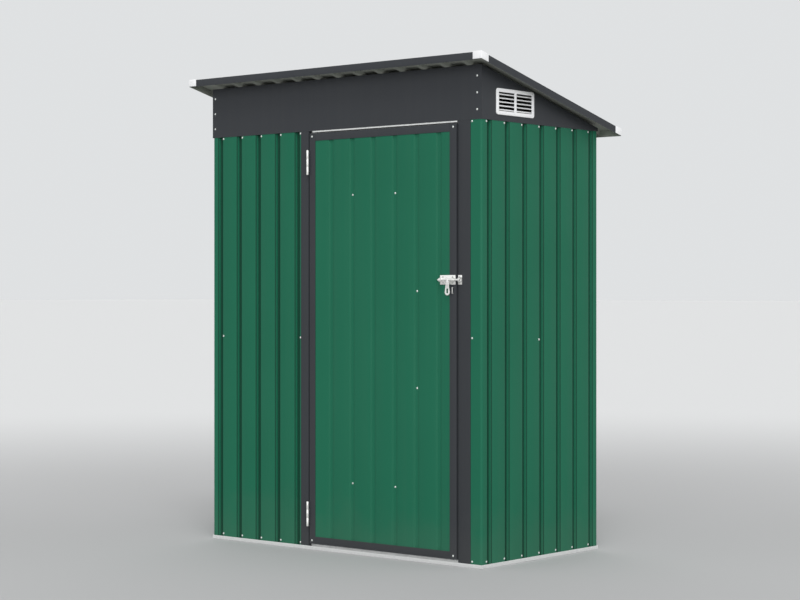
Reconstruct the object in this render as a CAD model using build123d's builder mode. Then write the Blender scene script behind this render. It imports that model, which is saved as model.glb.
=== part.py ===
from build123d import *
from math import cos, radians, sin, tan
import os

# A metal tool shed with ribbed steel walls, a single-slope roof and one hinged door with a barrel bolt.
# Sizes are in millimetres. The origin is on the ground under the middle of the roof, X runs along the
# front to the right, the door faces -Y and Z points up.

os.makedirs("parts", exist_ok=True)

# Walls
front_panel_width = 482.0    # from the left side to the hinge post
corner_strip_width = 50.0    # from the latch post to the right side
wall_depth = 720.0           # over the flats of the front and back walls
cladding_height = 1600.0     # ground to the lower edge of header and gables
corner_bend = 9.0            # outer radius of the folded corners

# Ribbed sheet
sheet = 0.8                  # thickness
rib_pitch = 105.0
rib_depth = 13.5             # of the grooves in walls and roof
rib_mouth = 24.0             # width of a groove at the outer face of walls and door
rib_floor = 18.0             # width of such a groove at its bottom
roof_rib_mouth = 35.0        # the same two widths on the roof
roof_rib_floor = 20.0
door_rib_depth = 5.0
front_rib_inset = 21.0       # hinge post to the middle of the groove beside it

# Flat folded steel: posts, rails, header, gables and trims
plate = 1.2
fit_gap = 0.3                # between pieces that lie on each other
move_gap = 5.1               # between a moving piece and a fixed one

# Rails
rail_lip = 14.0              # height of the outer lip of the base rail
rail_flange = 36.0           # height of its inner flange
top_rail_drop = 40.0         # height of the top rail's upright flange
top_rail_flange = 25.0

# Posts
hinge_post_width = 40.0
latch_post_width = 55.5
post_stop = 19.0             # width of the stop behind the edge of the door
sheet_tuck = 18.0            # wall sheet behind the face of the hinge post
latch_post_tuck = 22.0       # flange of the latch post behind the corner sheet

# Door
door_width = 718.0
door_bottom = 24.0
hinge_side_gap = 9.0         # between hinge post and door
latch_side_gap = 5.5         # between door and latch post
stile_width = 30.0
door_rail_width = 28.0
door_first_rib = 111.0       # edge of the door to the middle of its first groove
head_strip = 5.4             # height of the bright strip that shows over the door
brace_width = 40.0
brace_depth = 8.0
upper_brace_drop = 240.5     # top of the door to the middle of the brace
lower_brace_rise = 243.0     # foot of the door to the middle of the brace
upright_brace_rise = 576.0   # foot of the door to the foot of the upright brace
upright_brace_length = 422.0
upright_brace_rib = 2        # the groove that it stands behind, counted from the latch side

# Hinges
upper_hinge_drop = 64.5      # top of the door to the top of the hinge
lower_hinge_rise = 67.0      # foot of the door to the foot of the hinge
hinge_height = 92.0
knuckle_height = 30.0        # of the two knuckles on the post
knuckle_radius = 4.7
knuckle_gap = 0.5
pin_radius = 2.5
pin_gap = 0.3
leaf = 1.5
leaf_reach = 13.0            # depth of a leaf behind the face of the door
knuckle_proud = 5.7          # hinge axis in front of the face of the door

# Barrel bolt
bolt_rise = 1004.5           # foot of the door to the axis of the bolt
bolt_radius = 3.5
bolt_length = 92.0
bolt_stand_off = 8.0         # bolt axis in front of the face of the door
bolt_short = 5.3             # gap between the tip of the bolt and the keeper's strap
bolt_plate = 1.5
bolt_plate_height = 34.0
bolt_plate_length = 71.0
bolt_plate_inset = 2.0       # from the edge of the door
guide_length = 6.0
guide_wall = 4.0
guide_gap = 0.3
guide_inset = 2.0
staple_drop = 10.0           # foot of the plate to the top of the staple
staple_height = 23.0
staple_width = 3.0
staple_proud = 5.7
staple_wire = 1.6
staple_offset = 17.0         # beside the middle of the handle
handle_radius = 11.0
handle_neck = 4.0            # radius of the handle's top end
handle_drop = 45.0           # bolt axis to the middle of the handle's ring
handle_hole_width = 8.0
handle_hole_height = 18.0
handle_hole_lift = 5.0       # middle of the ring to the middle of its hole
handle_plate = 2.5
handle_back = 3.2            # back of the handle in front of the bolt axis
handle_from_tip = 44.6
keeper_width = 17.5
keeper_inset = 1.0
keeper_strap = 5.0
keeper_hole = 6.8
keeper_wall = 2.2

# Roof
roof_angle = 14.1
roof_overhang_side = 58.0
roof_overhang_end = 75.0
roof_first_rib = 102.5       # left edge of the roof sheet to the middle of its first groove
roof_joint_rib = 3           # the groove in which the two sheets meet, counted from the left
trim_height = 27.0
trim_flange = 16.0
cap_wall = 2.0
cap_length = 40.0
cap_height = 28.0

# Header and gables
back_header_height = 12.4
header_flange = 22.0
gable_flange = 20.0

# Vents
vent_inset = 194.0           # front wall to the middle of the vent
vent_rise = 69.0             # lower edge of the gable to the middle of the vent
vent_length = 226.0
vent_height = 95.0
vent_plate = 4.0
vent_corner = 10.0
vent_slot_length = 88.0
vent_slot_height = 7.0
vent_slot_pitch = 13.5
vent_slot_rows = 6
vent_column_pitch = 100.0
vent_overlap = 12.0          # of the vent on the gable, round its hole

# Places that follow from the sizes above
door_opening_width = hinge_side_gap + door_width + latch_side_gap
half_width = (
    front_panel_width + hinge_post_width + door_opening_width + latch_post_width + corner_strip_width
) / 2
half_depth = wall_depth / 2
corrugation = rib_depth + sheet
seat_x = half_width - corrugation - fit_gap      # outer face of rails behind the side walls
seat_y = half_depth - corrugation - fit_gap      # outer face of rails behind front and back
cover_x = half_width + fit_gap + plate           # outer face of gables and rail lips
cover_y = half_depth + fit_gap + plate           # outer face of header, posts and rail lips
channel_floor = plate + fit_gap                  # what stands in the base rails stands here
hinge_post_left = front_panel_width - half_width
opening_left = hinge_post_left + hinge_post_width
door_left = opening_left + hinge_side_gap
door_right = door_left + door_width
opening_right = door_right + latch_side_gap
latch_post_right = opening_right + latch_post_width
door_back_y = seat_y + move_gap                  # inner face of the door, from the middle of the shed
door_sheet_y = door_back_y + corrugation         # outer face of the door's flats
door_face_y = door_sheet_y + fit_gap + plate
door_top = cladding_height - head_strip - move_gap
incline = radians(roof_angle)
roof_side_x = half_width + roof_overhang_side
roof_end_y = half_depth + roof_overhang_end
roof_edge_x = roof_side_x - plate - fit_gap      # edge of the roof sheet inside the trims
roof_edge_y = roof_end_y - plate - fit_gap
under_roof = corrugation + fit_gap               # depth at which header and gables meet the roof
on_roof = -(fit_gap + plate)                     # depth of the upper face of the trims
sheet_top = cladding_height + back_header_height - plate / cos(incline) - fit_gap
roof_front_z = (
    cladding_height
    + back_header_height
    + under_roof / cos(incline)
    + (cover_y + roof_end_y) * tan(incline)
)


def grooves_between(first, end, mouth=rib_mouth):
    """Middles of the grooves from the first one on, for a flat sheet that ends or bends at end."""
    count = int((end - mouth / 2 - first) // rib_pitch) + 1
    return [first + i * rib_pitch for i in range(count)]


side_half = grooves_between(0, half_depth - corner_bend)
side_grooves = [-place for place in side_half[:0:-1]] + side_half
back_half = grooves_between(0, half_width - corner_bend)
back_grooves = [-place for place in back_half[:0:-1]] + back_half
front_grooves = [-place for place in grooves_between(front_rib_inset - hinge_post_left, half_width - corner_bend)]
door_grooves = grooves_between(door_left + door_first_rib, door_right - stile_width)
roof_grooves = grooves_between(roof_first_rib - roof_edge_x, roof_edge_x, roof_rib_mouth)
front_joint_x = min(front_grooves)
back_joint_x = back_half[len(back_half) // 2]
roof_joint_x = roof_grooves[roof_joint_rib - 1]


def save(piece, name):
    """Labels a finished piece and writes it."""
    piece.part.label = name
    export_step(piece.part, f"parts/{name}.step")


def roof_z(y, depth=0.0):
    """Height at y of the plane that lies depth below the top of the roof sheet, square to it."""
    return roof_front_z - (y + roof_end_y) * tan(incline) - depth / cos(incline)


def ribbed_line(start, end, grooves, mouth=rib_mouth, floor=rib_floor, depth=rib_depth):
    """Outline of a ribbed sheet as (place along it, depth behind its flats), from start to end."""
    points = []
    for centre in sorted(grooves):
        corners = [(centre - mouth / 2, 0), (centre - floor / 2, depth)]
        corners += [(centre + floor / 2, depth), (centre + mouth / 2, 0)]
        points += [corner for corner in corners if start < corner[0] < end]

    def depth_at(place):
        return depth if any(abs(place - centre) < floor / 2 for centre in grooves) else 0

    return [(start, depth_at(start)), *points, (end, depth_at(end))]


def on_front(points):
    return [(along, depth - half_depth) for along, depth in points]


def on_right(points):
    return [(half_width - depth, along) for along, depth in points]


def on_back(points):
    return [(-along, half_depth - depth) for along, depth in points]


def on_left(points):
    return [(depth - half_width, -along) for along, depth in points]


def folded(points, thickness=plate):
    """Draws a folded plate whose outer face runs through the points, with the plate on the left of
    the way from point to point, or on its right where the thickness is negative."""
    outer = [Vector(*point) for point in points]
    normals = [(end - start).normalized().rotate(Axis.Z, 90) for start, end in zip(outer, outer[1:])]
    bends = [(first + second) * (1 / (1 + first.dot(second))) for first, second in zip(normals, normals[1:])]
    shifts = [normals[0], *bends, normals[-1]]
    inner = [corner + shift * thickness for corner, shift in zip(outer, shifts)]
    Polyline(*outer, *reversed(inner), close=True)


def mitred(side, outer_x, outer_y, reach):
    """Corners of the share that one side has of a ring round the shed, with mitres at 45 degrees."""
    gap = fit_gap / 2
    if side in ("front", "back"):
        sign = -1 if side == "front" else 1
        return [
            (-outer_x + gap, sign * outer_y),
            (outer_x - gap, sign * outer_y),
            (outer_x - gap - reach, sign * (outer_y - reach)),
            (-outer_x + gap + reach, sign * (outer_y - reach)),
        ]
    sign = -1 if side == "left" else 1
    return [
        (sign * outer_x, -outer_y + gap),
        (sign * outer_x, outer_y - gap),
        (sign * (outer_x - reach), outer_y - gap - reach),
        (sign * (outer_x - reach), -outer_y + gap + reach),
    ]


sides = ("front", "right", "back", "left")

# Base rails: a ring of channel that the walls stand in, mitred at its corners
with BuildPart() as base_ring:
    with BuildSketch():
        Rectangle(2 * cover_x, 2 * cover_y)
        Rectangle(2 * (cover_x - plate), 2 * (cover_y - plate), mode=Mode.SUBTRACT)
    extrude(amount=rail_lip)
    with BuildSketch():
        Rectangle(2 * cover_x, 2 * cover_y)
        Rectangle(2 * seat_x, 2 * seat_y, mode=Mode.SUBTRACT)
    extrude(amount=plate)
    with BuildSketch():
        Rectangle(2 * seat_x, 2 * seat_y)
        Rectangle(2 * (seat_x - plate), 2 * (seat_y - plate), mode=Mode.SUBTRACT)
    extrude(amount=rail_flange)

for side in sides:
    with BuildPart() as base_rail:
        add(base_ring.part)
        with BuildSketch():
            with BuildLine():
                Polyline(*mitred(side, cover_x, cover_y, cover_x - seat_x + plate), close=True)
            make_face()
        extrude(amount=rail_flange, mode=Mode.INTERSECT)
    save(base_rail, f"base_rail_{side}")

# Top rails: a ring of angle inside the walls, its flat flange on top
with BuildPart() as top_ring:
    with BuildSketch(Plane.XY.offset(sheet_top - top_rail_drop)):
        Rectangle(2 * seat_x, 2 * seat_y)
        Rectangle(2 * (seat_x - plate), 2 * (seat_y - plate), mode=Mode.SUBTRACT)
    extrude(amount=top_rail_drop)
    with BuildSketch(Plane.XY.offset(sheet_top - plate)):
        Rectangle(2 * seat_x, 2 * seat_y)
        Rectangle(2 * (seat_x - top_rail_flange), 2 * (seat_y - top_rail_flange), mode=Mode.SUBTRACT)
    extrude(amount=plate)

for side in sides:
    with BuildPart() as top_rail:
        add(top_ring.part)
        with BuildSketch(Plane.XY.offset(sheet_top - top_rail_drop)):
            with BuildLine():
                Polyline(*mitred(side, seat_x, seat_y, top_rail_flange), close=True)
            make_face()
        extrude(amount=top_rail_drop, mode=Mode.INTERSECT)
    save(top_rail, f"top_rail_{side}")

# Flat ribbed wall sheets: beside the door and in the middle of the back
joint = fit_gap / 2
flat_sheets = {
    "front_left_wall": on_front(
        ribbed_line(front_joint_x + joint, hinge_post_left + sheet_tuck, front_grooves)
    ),
    "back_wall": on_back(ribbed_line(joint - back_joint_x, back_joint_x - joint, back_grooves)),
}
for sheet_name, outline in flat_sheets.items():
    with BuildPart() as wall_sheet:
        with BuildSketch(Plane.XY.offset(channel_floor)):
            with BuildLine():
                folded(outline, sheet)
            make_face()
        extrude(amount=sheet_top - channel_floor)
    save(wall_sheet, sheet_name)

# Corner sheets: each runs up to a corner, bends round it and goes on along the next wall
corner_sheets = {
    "right_front_wall": (
        on_front(ribbed_line(latch_post_right + fit_gap, half_width, [])),
        on_right(ribbed_line(-half_depth, -joint, side_grooves)),
    ),
    "right_back_wall": (
        on_right(ribbed_line(joint, half_depth, side_grooves)),
        on_back(ribbed_line(-half_width, -back_joint_x - joint, back_grooves)),
    ),
    "left_back_wall": (
        on_back(ribbed_line(back_joint_x + joint, half_width, back_grooves)),
        on_left(ribbed_line(-half_depth, -joint, side_grooves)),
    ),
    "left_front_wall": (
        on_left(ribbed_line(joint, half_depth, side_grooves)),
        on_front(ribbed_line(-half_width, front_joint_x - joint, front_grooves)),
    ),
}
for sheet_name, (first, second) in corner_sheets.items():
    with BuildPart() as corner_sheet:
        with BuildSketch(Plane.XY.offset(channel_floor)) as plan:
            with BuildLine():
                folded(first + second[1:], sheet)
            make_face()
            for radius in (corner_bend, corner_bend - sheet):
                fillet(plan.vertices().sort_by_distance(second[0])[0], radius)
        extrude(amount=sheet_top - channel_floor)
    save(corner_sheet, sheet_name)

# Door posts: a face flush with the header, a flange inwards and a stop behind the edge of the door
tuck_y = half_depth - sheet - fit_gap
posts = {
    "hinge_post": [
        (hinge_post_left, -cover_y),
        (opening_left, -cover_y),
        (opening_left, -seat_y),
        (opening_left + post_stop, -seat_y),
    ],
    "latch_post": [
        (opening_right - post_stop, -seat_y),
        (opening_right, -seat_y),
        (opening_right, -cover_y),
        (latch_post_right, -cover_y),
        (latch_post_right, -tuck_y),
        (latch_post_right + latch_post_tuck, -tuck_y),
    ],
}
for post_name, outline in posts.items():
    with BuildPart() as post:
        with BuildSketch(Plane.XY.offset(channel_floor)):
            with BuildLine():
                folded(outline)
            make_face()
        extrude(amount=cladding_height - fit_gap - channel_floor)
        # Notches where the lip and the flange of the base rail and the top rail run through
        notches = [
            (-cover_y, -cover_y + plate + fit_gap, 0, rail_lip + fit_gap),
            (-seat_y - fit_gap, -seat_y + 2 * plate, 0, rail_flange + fit_gap),
            (-seat_y - fit_gap, -seat_y + 2 * plate, sheet_top - top_rail_drop - fit_gap, sheet_top),
        ]
        for notch_front, notch_back, foot, head in notches:
            with BuildSketch(Plane.XY.offset(foot)):
                with Locations((0, notch_front)):
                    Rectangle(2 * half_width, notch_back - notch_front, align=(Align.CENTER, Align.MIN))
            extrude(amount=head - foot, mode=Mode.SUBTRACT)
    save(post, post_name)

# Door head rail: its lip shows as a bright strip between the door and the header
with BuildPart() as door_head_rail:
    with BuildSketch(Plane.YZ.offset(opening_left + post_stop)):
        with BuildLine():
            folded(
                [
                    (-half_depth, cladding_height - head_strip),
                    (-half_depth, sheet_top),
                    (-seat_y - fit_gap, sheet_top),
                ],
                -plate,
            )
        make_face()
    extrude(amount=door_right - opening_left - post_stop)
save(door_head_rail, "door_head_rail")

# Headers: a flat strip over the front and one over the back, folded inwards under the roof
for header_name, sign in (("front_header", -1), ("back_header", 1)):
    outer_y = sign * cover_y
    inner_y = sign * (cover_y - plate)
    flange_y = sign * (cover_y - header_flange)
    header_face = [
        (outer_y, cladding_height),
        (inner_y, cladding_height),
        (inner_y, roof_z(inner_y, under_roof)),
        (outer_y, roof_z(outer_y, under_roof)),
    ]
    header_top = [
        (inner_y, roof_z(inner_y, under_roof)),
        (flange_y, roof_z(flange_y, under_roof)),
        (flange_y, roof_z(flange_y, under_roof + plate)),
        (inner_y, roof_z(inner_y, under_roof + plate)),
    ]
    with BuildPart() as header:
        for outline, reach in ((header_face, cover_x), (header_top, cover_x - plate - fit_gap)):
            with BuildSketch(Plane.YZ):
                with BuildLine():
                    Polyline(*outline, close=True)
                make_face()
            extrude(amount=reach, both=True)
    save(header, header_name)

# Gables: flat panels with a flange under the roof, a flange behind the front header and a vent hole
vent_y = vent_inset - half_depth
vent_z = cladding_height + vent_rise
flange_end = cover_y - header_flange - fit_gap
gable_face = [
    (-half_depth, cladding_height),
    (half_depth, cladding_height),
    (half_depth, roof_z(half_depth, under_roof)),
    (-half_depth, roof_z(-half_depth, under_roof)),
]
gable_top_flange = [
    (-flange_end, roof_z(-flange_end, under_roof)),
    (flange_end, roof_z(flange_end, under_roof)),
    (flange_end, roof_z(flange_end, under_roof + plate)),
    (-flange_end, roof_z(-flange_end, under_roof + plate)),
]
front_flange_top = roof_z(plate - half_depth, under_roof + plate + fit_gap)
gable_front_flange = [
    (-half_depth, sheet_top + fit_gap),
    (plate - half_depth, sheet_top + fit_gap),
    (plate - half_depth, front_flange_top),
    (-half_depth, front_flange_top),
]
for side, sign in (("left", -1), ("right", 1)):
    with BuildPart() as gable:
        with BuildSketch(Plane.YZ.offset(sign * (cover_x - plate))):
            with BuildLine():
                Polyline(*gable_face, close=True)
            make_face()
            with Locations((vent_y, vent_z)):
                Rectangle(vent_length - 2 * vent_overlap, vent_height - 2 * vent_overlap, mode=Mode.SUBTRACT)
        extrude(amount=sign * plate)
        for flange in (gable_top_flange, gable_front_flange):
            with BuildSketch(Plane.YZ.offset(sign * (cover_x - plate))):
                with BuildLine():
                    Polyline(*flange, close=True)
                make_face()
            extrude(amount=-sign * gable_flange)
    save(gable, f"{side}_gable")

    with BuildPart() as vent:
        with BuildSketch(Plane.YZ.offset(sign * (cover_x + fit_gap))):
            with Locations((vent_y, vent_z)):
                RectangleRounded(vent_length, vent_height, vent_corner)
                with GridLocations(vent_column_pitch, vent_slot_pitch, 2, vent_slot_rows):
                    Rectangle(vent_slot_length, vent_slot_height, mode=Mode.SUBTRACT)
        extrude(amount=sign * vent_plate)
    save(vent, f"{side}_vent")

# Roof sheets: ribbed along the slope, drawn from the back edge up to the front edge
roof_sheets = {
    "roof_left_sheet": (-roof_edge_x, roof_joint_x - joint),
    "roof_right_sheet": (roof_joint_x + joint, roof_edge_x),
}
back_edge = Plane(
    origin=(0, roof_edge_y, roof_z(roof_edge_y)),
    x_dir=(1, 0, 0),
    z_dir=(0, -cos(incline), sin(incline)),
)
for roof_name, (start, end) in roof_sheets.items():
    roof_line = ribbed_line(start, end, roof_grooves, roof_rib_mouth, roof_rib_floor)
    outline = [(along, -depth) for along, depth in roof_line]
    with BuildPart() as roof_sheet:
        with BuildSketch(back_edge):
            with BuildLine():
                folded(outline, -sheet)
            make_face()
        extrude(amount=(2 * roof_edge_y - corrugation * sin(incline)) / cos(incline))
    save(roof_sheet, roof_name)

# Roof trims over the front and back edges
for trim_name, sign in (("roof_front_trim", -1), ("roof_back_trim", 1)):
    flange_y = sign * (roof_end_y - trim_flange)
    edge_z = roof_z(sign * roof_end_y, on_roof)
    with BuildPart() as end_trim:
        with BuildSketch(Plane.YZ):
            with BuildLine():
                folded(
                    [
                        (flange_y, roof_z(flange_y, on_roof)),
                        (sign * roof_end_y, edge_z),
                        (sign * roof_end_y, edge_z - trim_height),
                    ],
                    -sign * plate,
                )
            make_face()
        extrude(amount=roof_edge_x, both=True)
    save(end_trim, trim_name)

# Roof trims over the side edges: an upright face and a flange on the roof sheet
flange_end = roof_end_y - trim_flange - fit_gap
side_trim_face = [
    (-roof_end_y, roof_z(-roof_end_y, on_roof)),
    (roof_end_y, roof_z(roof_end_y, on_roof)),
    (roof_end_y, roof_z(roof_end_y, on_roof) - trim_height),
    (-roof_end_y, roof_z(-roof_end_y, on_roof) - trim_height),
]
side_trim_flange = [
    (-flange_end, roof_z(-flange_end, on_roof)),
    (flange_end, roof_z(flange_end, on_roof)),
    (flange_end, roof_z(flange_end, on_roof + plate)),
    (-flange_end, roof_z(-flange_end, on_roof + plate)),
]
for side, sign in (("left", -1), ("right", 1)):
    with BuildPart() as side_trim:
        with BuildSketch(Plane.YZ.offset(sign * (roof_side_x - plate))):
            with BuildLine():
                Polyline(*side_trim_face, close=True)
            make_face()
        extrude(amount=sign * plate)
        with BuildSketch(Plane.YZ.offset(sign * (roof_side_x - plate))):
            with BuildLine():
                Polyline(*side_trim_flange, close=True)
            make_face()
        extrude(amount=-sign * (trim_flange - plate))
    save(side_trim, f"roof_{side}_trim")


def cap_side(sign, outer, length, upper, lower):
    """Side view of a corner cap: its upper edge follows the roof, lower is how far it reaches down."""
    inner = outer - length
    return [
        (sign * outer, roof_z(sign * outer, upper)),
        (sign * inner, roof_z(sign * inner, upper)),
        (sign * inner, roof_z(sign * inner, upper) - lower),
        (sign * outer, roof_z(sign * outer, upper) - lower),
    ]


# Corner caps: hollow corners that are open inwards and below
cap_x = roof_side_x + fit_gap + cap_wall
cap_y = roof_end_y + fit_gap + cap_wall
for end, end_sign in (("front", -1), ("back", 1)):
    for side, sign in (("left", -1), ("right", 1)):
        with BuildPart() as cap:
            with BuildSketch(Plane.YZ.offset(sign * cap_x)):
                with BuildLine():
                    Polyline(
                        *cap_side(end_sign, cap_y, cap_length, on_roof - fit_gap - cap_wall, cap_height),
                        close=True,
                    )
                make_face()
            extrude(amount=-sign * cap_length)
            with BuildSketch(Plane.YZ.offset(sign * (cap_x - cap_wall))):
                with BuildLine():
                    Polyline(
                        *cap_side(end_sign, cap_y - cap_wall, cap_length, on_roof - fit_gap, 2 * cap_height),
                        close=True,
                    )
                make_face()
            extrude(amount=-sign * cap_length, mode=Mode.SUBTRACT)
        save(cap, f"roof_cap_{end}_{side}")

# Door stiles: angles round the upright edges of the door
stiles = {
    "door_hinge_stile": [
        (door_left, -door_back_y),
        (door_left, -door_face_y),
        (door_left + stile_width, -door_face_y),
    ],
    "door_latch_stile": [
        (door_right - stile_width, -door_face_y),
        (door_right, -door_face_y),
        (door_right, -door_back_y),
    ],
}
for stile_name, outline in stiles.items():
    with BuildPart() as stile:
        with BuildSketch(Plane.XY.offset(door_bottom)):
            with BuildLine():
                folded(outline)
            make_face()
        extrude(amount=door_top - door_bottom)
    save(stile, stile_name)

# Door rails: angles round its upper and lower edges, between the stiles
door_rails = {
    "door_top_rail": [
        (-door_face_y, door_top - door_rail_width),
        (-door_face_y, door_top),
        (-door_back_y, door_top),
    ],
    "door_bottom_rail": [
        (-door_back_y, door_bottom),
        (-door_face_y, door_bottom),
        (-door_face_y, door_bottom + door_rail_width),
    ],
}
door_rail_left = door_left + stile_width + fit_gap
door_rail_right = door_right - stile_width - fit_gap
for rail_name, outline in door_rails.items():
    with BuildPart() as door_rail:
        with BuildSketch(Plane.YZ.offset(door_rail_left)):
            with BuildLine():
                folded(outline, -plate)
            make_face()
        extrude(amount=door_rail_right - door_rail_left)
    save(door_rail, rail_name)

# Door panel: one ribbed sheet inside the stiles and rails
panel_inset = plate + fit_gap
panel_left = door_left + panel_inset
panel_right = door_right - panel_inset
panel_line = ribbed_line(panel_left, panel_right, door_grooves, depth=door_rib_depth)
with BuildPart() as door_panel:
    with BuildSketch(Plane.XY.offset(door_bottom + panel_inset)):
        with BuildLine():
            folded([(along, depth - door_sheet_y) for along, depth in panel_line], sheet)
        make_face()
    extrude(amount=door_top - door_bottom - 2 * panel_inset)
save(door_panel, "door_panel")

# Door braces: shallow channels on the back of the panel, two across and one upright
brace_front = door_sheet_y - door_rib_depth - sheet - fit_gap
brace_back = brace_front - brace_depth
brace_levels = {
    "door_upper_brace": door_top - upper_brace_drop,
    "door_lower_brace": door_bottom + lower_brace_rise,
}
for brace_name, brace_z in brace_levels.items():
    with BuildPart() as brace:
        with BuildSketch(Plane.YZ.offset(panel_left)):
            with BuildLine():
                folded(
                    [
                        (-brace_back, brace_z - brace_width / 2),
                        (-brace_front, brace_z - brace_width / 2),
                        (-brace_front, brace_z + brace_width / 2),
                        (-brace_back, brace_z + brace_width / 2),
                    ],
                    -plate,
                )
            make_face()
        extrude(amount=panel_right - panel_left)
    save(brace, brace_name)

upright_x = door_grooves[-upright_brace_rib]
with BuildPart() as door_upright_brace:
    with BuildSketch(Plane.XY.offset(door_bottom + upright_brace_rise)):
        with BuildLine():
            folded(
                [
                    (upright_x - brace_width / 2, -brace_back),
                    (upright_x - brace_width / 2, -brace_front),
                    (upright_x + brace_width / 2, -brace_front),
                    (upright_x + brace_width / 2, -brace_back),
                ]
            )
        make_face()
    extrude(amount=upright_brace_length)
save(door_upright_brace, "door_upright_brace")

# Hinges: a leaf on the post with two knuckles and the pin, and a leaf on the door with one knuckle
hinge_x = opening_left + hinge_side_gap / 2
hinge_y = -door_face_y - knuckle_proud
leaf_back_y = leaf_reach - door_face_y
leaf_front_y = hinge_y + knuckle_radius + leaf
post_leaf_x = opening_left + fit_gap
door_leaf_x = door_left - fit_gap - leaf
door_knuckle_height = hinge_height - 2 * (knuckle_height + knuckle_gap)


def leaf_block(x, front_y, back_y, foot, height):
    """An upright piece of leaf from its front edge to its back edge."""
    with Locations((x, front_y, foot)):
        Box(leaf, back_y - front_y, height, align=Align.MIN)


def knuckle(foot, height, radius, mode=Mode.ADD):
    """A round length on the hinge axis."""
    with Locations((hinge_x, hinge_y, foot)):
        Cylinder(radius, height, align=(Align.CENTER, Align.CENTER, Align.MIN), mode=mode)


hinge_feet = {
    "upper": door_top - upper_hinge_drop - hinge_height,
    "lower": door_bottom + lower_hinge_rise,
}
for level, foot in hinge_feet.items():
    with BuildPart() as post_leaf:
        leaf_block(post_leaf_x, leaf_front_y, leaf_back_y, foot, hinge_height)
        for knuckle_foot in (foot, foot + hinge_height - knuckle_height):
            leaf_block(post_leaf_x, hinge_y, leaf_front_y, knuckle_foot, knuckle_height)
            knuckle(knuckle_foot, knuckle_height, knuckle_radius)
        knuckle(foot, hinge_height, pin_radius)
    save(post_leaf, f"{level}_hinge_post_leaf")

    middle = foot + knuckle_height + knuckle_gap
    with BuildPart() as door_leaf:
        leaf_block(door_leaf_x, leaf_front_y, leaf_back_y, foot, hinge_height)
        leaf_block(door_leaf_x, hinge_y, leaf_front_y, middle, door_knuckle_height)
        knuckle(middle, door_knuckle_height, knuckle_radius)
        knuckle(middle, door_knuckle_height, pin_radius + pin_gap, Mode.SUBTRACT)
    save(door_leaf, f"{level}_hinge_door_leaf")

# Barrel bolt: places along the front
bolt_z = door_bottom + bolt_rise
bolt_y = -door_face_y - bolt_stand_off
bolt_plate_y = door_face_y + fit_gap
bolt_plate_right = door_right - bolt_plate_inset
bolt_plate_left = bolt_plate_right - bolt_plate_length
keeper_left = opening_right + keeper_inset
strap_left = keeper_left + keeper_width - keeper_strap
bolt_tip = strap_left - bolt_short
handle_x = bolt_tip - handle_from_tip
staple_x = handle_x + staple_offset


def bolt_loop(x, length, base_y, hole, wall):
    """A block that stands on a plate in front of base_y, with a hole round the bolt."""
    with BuildSketch(Plane.YZ.offset(x)) as loop:
        with Locations((bolt_y, bolt_z)):
            Circle(hole + wall)
        with Locations((-base_y, bolt_z)):
            Rectangle(-bolt_y - base_y, 2 * (hole + wall), align=(Align.MAX, Align.CENTER))
            Rectangle(hole + wall, 2 * (hole + wall), align=(Align.MIN, Align.CENTER), mode=Mode.SUBTRACT)
        with Locations((bolt_y, bolt_z)):
            Circle(hole, mode=Mode.SUBTRACT)
    extrude(loop.sketch, amount=length)


# Bolt base on the door: a plate with two guides, and a staple for a padlock that stands below it
staple_foot = bolt_z - bolt_plate_height / 2 - staple_drop - staple_height
with BuildPart() as bolt_base:
    with BuildSketch(Plane.XZ.offset(bolt_plate_y)):
        with Locations((bolt_plate_left + bolt_plate_length / 2, bolt_z)):
            Rectangle(bolt_plate_length, bolt_plate_height)
    extrude(amount=bolt_plate)
    for guide_x in (bolt_plate_left + guide_inset, bolt_plate_right - guide_inset - guide_length):
        bolt_loop(guide_x, guide_length, bolt_plate_y + bolt_plate, bolt_radius + guide_gap, guide_wall)
    with BuildSketch(Plane.YZ.offset(staple_x - staple_width / 2)):
        with Locations((-bolt_plate_y, staple_foot)):
            Rectangle(staple_proud, staple_height, align=(Align.MAX, Align.MIN))
        with Locations((-bolt_plate_y, staple_foot + staple_wire)):
            Rectangle(
                staple_proud - staple_wire,
                staple_height - 2 * staple_wire,
                align=(Align.MAX, Align.MIN),
                mode=Mode.SUBTRACT,
            )
    extrude(amount=staple_width)
save(bolt_base, "bolt_base")

# Bolt: a round rod with a hanging handle that has a ring at its foot
with BuildPart() as bolt:
    with BuildSketch(Plane.YZ.offset(bolt_tip - bolt_length)):
        with Locations((bolt_y, bolt_z)):
            Circle(bolt_radius)
    extrude(amount=bolt_length)
    with BuildSketch(Plane.XZ.offset(-bolt_y + handle_back)):
        with Locations((handle_x, bolt_z)):
            Circle(handle_neck)
        with Locations((handle_x, bolt_z - handle_drop)):
            Circle(handle_radius)
        make_hull()
        with Locations((handle_x, bolt_z - handle_drop + handle_hole_lift)):
            SlotOverall(handle_hole_height, handle_hole_width, rotation=90, mode=Mode.SUBTRACT)
    extrude(amount=handle_plate)
save(bolt, "bolt")

# Keeper on the latch post: a plate with a strap that the bolt slides into
with BuildPart() as bolt_keeper:
    with BuildSketch(Plane.XZ.offset(cover_y + fit_gap)):
        with Locations((keeper_left + keeper_width / 2, bolt_z)):
            Rectangle(keeper_width, bolt_plate_height)
    extrude(amount=bolt_plate)
    bolt_loop(strap_left, keeper_strap, cover_y + fit_gap + bolt_plate, keeper_hole, keeper_wall)
save(bolt_keeper, "bolt_keeper")
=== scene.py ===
import logging
import math
from contextlib import contextmanager
from dataclasses import dataclass, field
from enum import Enum
from typing import Any, Callable, Iterator, Sequence

import bmesh
import bpy
from mathutils import Matrix, Vector


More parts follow.
